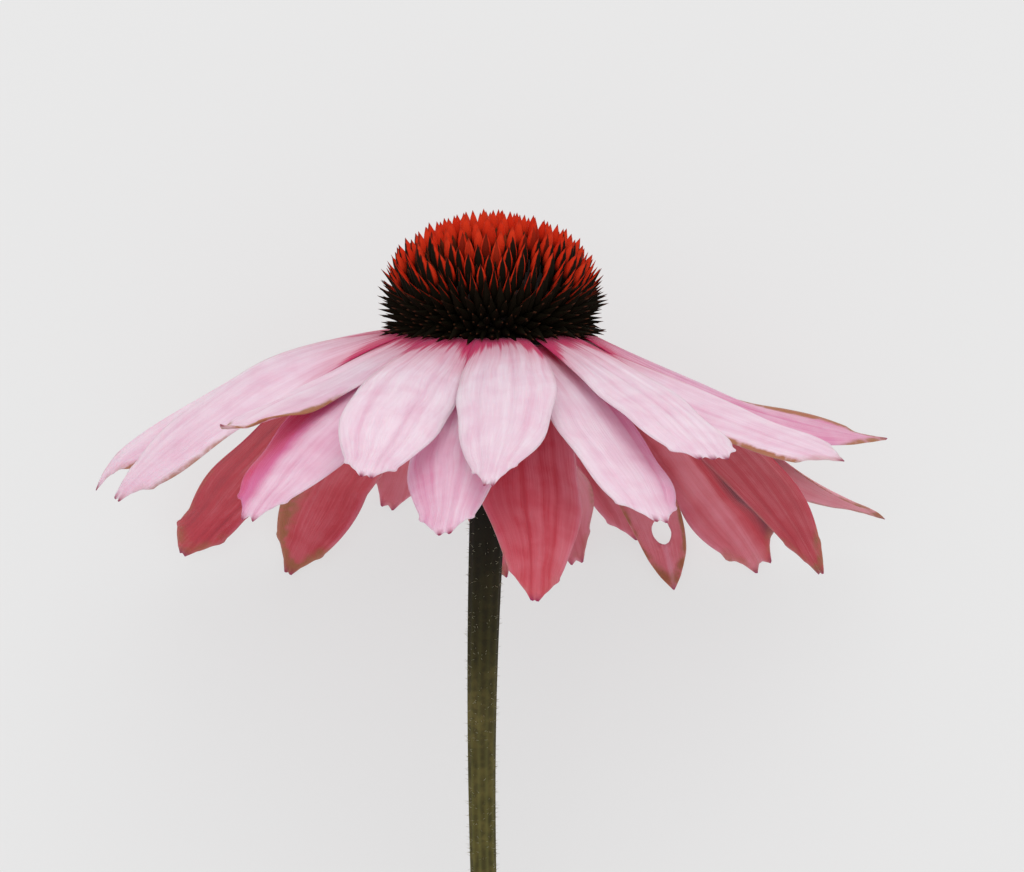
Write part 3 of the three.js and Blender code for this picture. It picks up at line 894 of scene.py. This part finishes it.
# The cut end is slightly hollow: radius, and how far short of the full length.
CUT_END = [(0, 0.55), (0.9, 0.5), (1.35, 0.25), (1.6, 0), (1.72, 0.02)]
profile = [(radius, STEM_LENGTH - short) for radius, short in CUT_END]
profile += [(stem_radius(d), d) for d in np.linspace(STEM_LENGTH - 0.2, FLARE_START, 70)]
bend_radius, bend_down = stem_radius(FLARE_START) + 0.3, (RIM_DEPTH + FLARE_START) / 2
for t in np.linspace(0.1, 1, 10):
    profile.append(((1 - t) ** 2 * stem_radius(FLARE_START) + 2 * t * (1 - t) * bend_radius
                    + t * t * RECEPTACLE_RADIUS,
                    (1 - t) ** 2 * FLARE_START + 2 * t * (1 - t) * bend_down
                    + t * t * RIM_DEPTH))
profile += [(RECEPTACLE_RADIUS, 0), (RECEPTACLE_RADIUS - 0.1, -RECEPTACLE_TOP + 0.05),
            (RECEPTACLE_RADIUS - 0.6, -RECEPTACLE_TOP), (0, -RECEPTACLE_TOP)]

bm = bmesh.new()
down_layer = bm.verts.layers.float.new("down")
cut_layer = bm.verts.layers.float.new("cut")
ridge_layer = bm.verts.layers.float.new("ridge")
line = []
for index, (radius, down) in enumerate(profile):
    vert = bm.verts.new((radius, 0, -down))
    vert[down_layer] = down
    vert[cut_layer] = 1.0 if index < len(CUT_END) - 1 else 0.0
    line.append(vert)
edges = [bm.edges.new(pair) for pair in zip(line, line[1:])]
bmesh.ops.spin(bm, geom=line + edges, cent=(0, 0, 0), axis=(0, 0, 1), angle=2 * math.pi,
               steps=66, use_merge=True)
bmesh.ops.remove_doubles(bm, verts=bm.verts, dist=1e-4)
bmesh.ops.recalc_face_normals(bm, faces=bm.faces)
for vert in bm.verts:
    x, y, z = vert.co
    down = -z
    angle = math.atan2(y, x)
    ridge = (0.5 + 0.5 * math.cos(RIDGES * angle + 0.012 * down)) ** 2
    on_stem = float(np.clip((down - 7) / 8, 0, 1)) * (0 if vert[cut_layer] else 1)
    shrink = 1 - 0.05 * (1 - ridge) * on_stem
    vert[ridge_layer] = ridge
    vert.co = (x * shrink + sway(down), y * shrink, z)
stem_bm = bm
print("stem points:", len(bm.verts))

# %% Hairs


def hair_mesh(length, radius):
    bm = bmesh.new()
    bmesh.ops.create_cone(bm, cap_ends=True, segments=3, radius1=radius, radius2=0.004,
                          depth=length, matrix=Matrix.Translation((0, 0, length / 2)))
    mesh = bpy.data.meshes.new("hair")
    bm.to_mesh(mesh)
    bm.free()
    return mesh


HAIR_LENGTH, STEM_HAIRS = 0.75, 1500
HAIRS_START, HAIRS_END = 8, STEM_LENGTH - 4
hair = hair_mesh(HAIR_LENGTH, 0.035)
rng = random.Random(5)
matrices = []
while len(matrices) < STEM_HAIRS:
    down = rng.uniform(HAIRS_START, HAIRS_END)
    angle = rng.uniform(0, 2 * math.pi)
    out = Vector((math.cos(angle), math.sin(angle), 0))
    radius = stem_radius(down) * 0.97 if down > FLARE_START else stem_radius(down) + 0.2
    place = out * radius + Vector((sway(down), 0, -down))
    lean = out + Vector((rng.uniform(-0.4, 0.4), rng.uniform(-0.4, 0.4), rng.uniform(-0.3, 0.8)))
    tip = place + lean.normalized() * HAIR_LENGTH
    if HEAD_HEIGHT + tip.dot(UP) < 0.1:
        continue  # the table has pressed it flat
    size = rng.uniform(0.5, 1.0)
    matrices.append(frame_from(place, lean, Vector((0.3, 0.2, 1)))
                    @ Matrix.Diagonal((1, 1, size, 1)))
bm = bmesh.new()
add_copies(bm, hair, matrices)
hairs_bm = bm
print("hairs:", len(matrices))

# %% Stem finish
stem_finish, tree, shader = new_finish("stem", Roughness=0.7, Specular_IOR_Level=0.15)
point = node(tree, "ShaderNodeTexCoord").outputs["Object"]
down, cut, ridge = (attribute(tree, layer) for layer in ("down", "cut", "ridge"))
fine = use_group(tree, mottle_group, {"Point": point, "Scale": 700.0, "Low": 0.4, "High": 0.62})[0]
broad = use_group(tree, mottle_group, {"Point": point, "Scale": 120.0, "Low": 0.35, "High": 0.7})[0]
green = blend_colours(tree, broad, tone(0x504923), tone(0x74693A))
green = blend_colours(tree, maths(tree, "MULTIPLY", fine, 0.5), green, tone(0x2E2C18))
green = blend_colours(tree, maths(tree, "MULTIPLY", ridge, 0.3), green, tone(0x7A7A44))
# Darker towards the head: painted shade from the head and petals over the stem.
green = blend_colours(tree, ramp(tree, down, 75.0, 22.0), green, tone(0x100E09))
green = blend_colours(tree, cut, green, tone(0xB7B98A))
tree.links.new(green, shader.inputs["Base Color"])
bump = node(tree, "ShaderNodeBump", {"Height": fine, "Strength": 0.4, "Distance": 0.0001})
tree.links.new(bump.outputs[0], shader.inputs["Normal"])
hair_finish, _, _ = new_finish("pale hairs", Base_Color=tone(0xB9B59A), Roughness=0.5)
finish_piece(stem_bm, "stem_ridged", stem_finish, "stem")
finish_piece(hairs_bm, "stem_hairs", hair_finish, "stem")
print("stem finished")

# %% [markdown]
# ## The leaves under the head
#
# Two rings of small pointed leaves hug the underside of the head. Each is a small grid bent
# along its own path, like a petal but stiffer, and given its thickness with the solidify
# operator. Its margin carries a row of stiff hairs.

# %% Leaves
WHORLS = [
    # name, root, height, length, width, lift, droop, turn
    ("inner", 11.4, -3.6, 11.5, 3.2, -50, 82, 0.0),
    ("outer", 8.6, -5.6, 8.5, 2.8, -64, 84, 0.5),
]
LEAVES_PER_WHORL = 13
LEAF_THICKNESS = 0.45
margin_hair = hair_mesh(0.55, 0.03)


def grow_leaf(root, height, length, width, lift, droop, turn, rng):
    path = trace_blade(turn, root, height, length, math.radians(lift), math.radians(droop),
                       0, 0, LEAF_THICKNESS / 2)
    bm = bmesh.new()
    uv_layer = bm.loops.layers.uv.new("UVMap")
    bmesh.ops.create_grid(bm, x_segments=8, y_segments=18, size=1)
    bmesh.ops.reverse_faces(bm, faces=bm.faces)
    grid = np.array([v.co for v in bm.verts])
    across, along = grid[:, 0], (grid[:, 1] + 1) / 2
    share = np.where(along < 0.3, 0.7 + 0.3 * np.sin(np.pi / 2 * along / 0.3),
                     (1 - ((np.clip(along, 0.3, 1) - 0.3) / 0.7) ** 1.5) ** 0.9)
    share = np.maximum(share, 0.04)
    sideways = width / 2 * share * across
    height_off = -0.3 * share * across ** 2 - 0.12 * np.exp(-(across / 0.12) ** 2)
    places = place_on_path(path, along, sideways, height_off, LEAF_THICKNESS / 2)
    for i, vert in enumerate(bm.verts):
        vert.co = places[:, i]
        for loop in vert.link_loops:
            loop[uv_layer].uv = ((across[i] + 1) / 2, along[i])
    margins = [(v.co.copy(), 1 if g[0] > 0 else -1) for v, g in zip(bm.verts, grid)
               if abs(g[0]) > 0.99 and g[1] > -0.7]
    centre = [v.co.copy() for v, g in zip(bm.verts, grid)
              if abs(g[0]) < 0.01 and g[1] > -0.7]
    bmesh.ops.solidify(bm, geom=bm.faces[:], thickness=LEAF_THICKNESS * 0.8)
    bmesh.ops.recalc_face_normals(bm, faces=bm.faces)
    matrices = []
    for place, sign in margins:
        mid = min(centre, key=lambda c: (c - place).length)
        out = place - mid
        if out.length < 1e-4:
            continue
        lean = out.normalized() + Vector([rng.uniform(-0.4, 0.4) for _ in range(3)])
        matrices.append(frame_from(place, lean, Vector((0.1, 0.2, 1))))
    add_copies(bm, margin_hair, matrices)
    return bm


leaf_finish, tree, shader = new_finish("leaf", Roughness=0.7, Specular_IOR_Level=0.3)
uv = node(tree, "ShaderNodeUVMap", uv_map="UVMap").outputs["UV"]
point = node(tree, "ShaderNodeTexCoord").outputs["Object"]
leaf_veins = use_group(tree, streaks_group,
                       {"UV": uv, "Seed": 0.4, "Lines": 14.0, "Stretch": 2.0})[0]
patches = use_group(tree, mottle_group, {"Point": point, "Scale": 400.0, "Low": 0.4, "High": 0.7})[0]
green = blend_colours(tree, leaf_veins, tone(0x4C5A25), tone(0x6E7B3A))
green = blend_colours(tree, maths(tree, "MULTIPLY", patches, 0.5), green, tone(0x35421C))
tree.links.new(green, shader.inputs["Base Color"])
bump = node(tree, "ShaderNodeBump", {"Height": leaf_veins, "Strength": 0.5, "Distance": 0.0001})
tree.links.new(bump.outputs[0], shader.inputs["Normal"])

rng = random.Random(8)
for name, root, height, length, width, lift, droop, shift in WHORLS:
    for i in range(LEAVES_PER_WHORL):
        turn_angle = (i + shift) / LEAVES_PER_WHORL * 2 * math.pi
        bm = grow_leaf(root, height, length, width, lift, droop, turn_angle, rng)
        finish_piece(bm, f"leaf_{name}_{i + 1:02d}", leaf_finish,
                     f"bract_{name}_{i + 1:02d}")
print("leaves:", 2 * LEAVES_PER_WHORL)
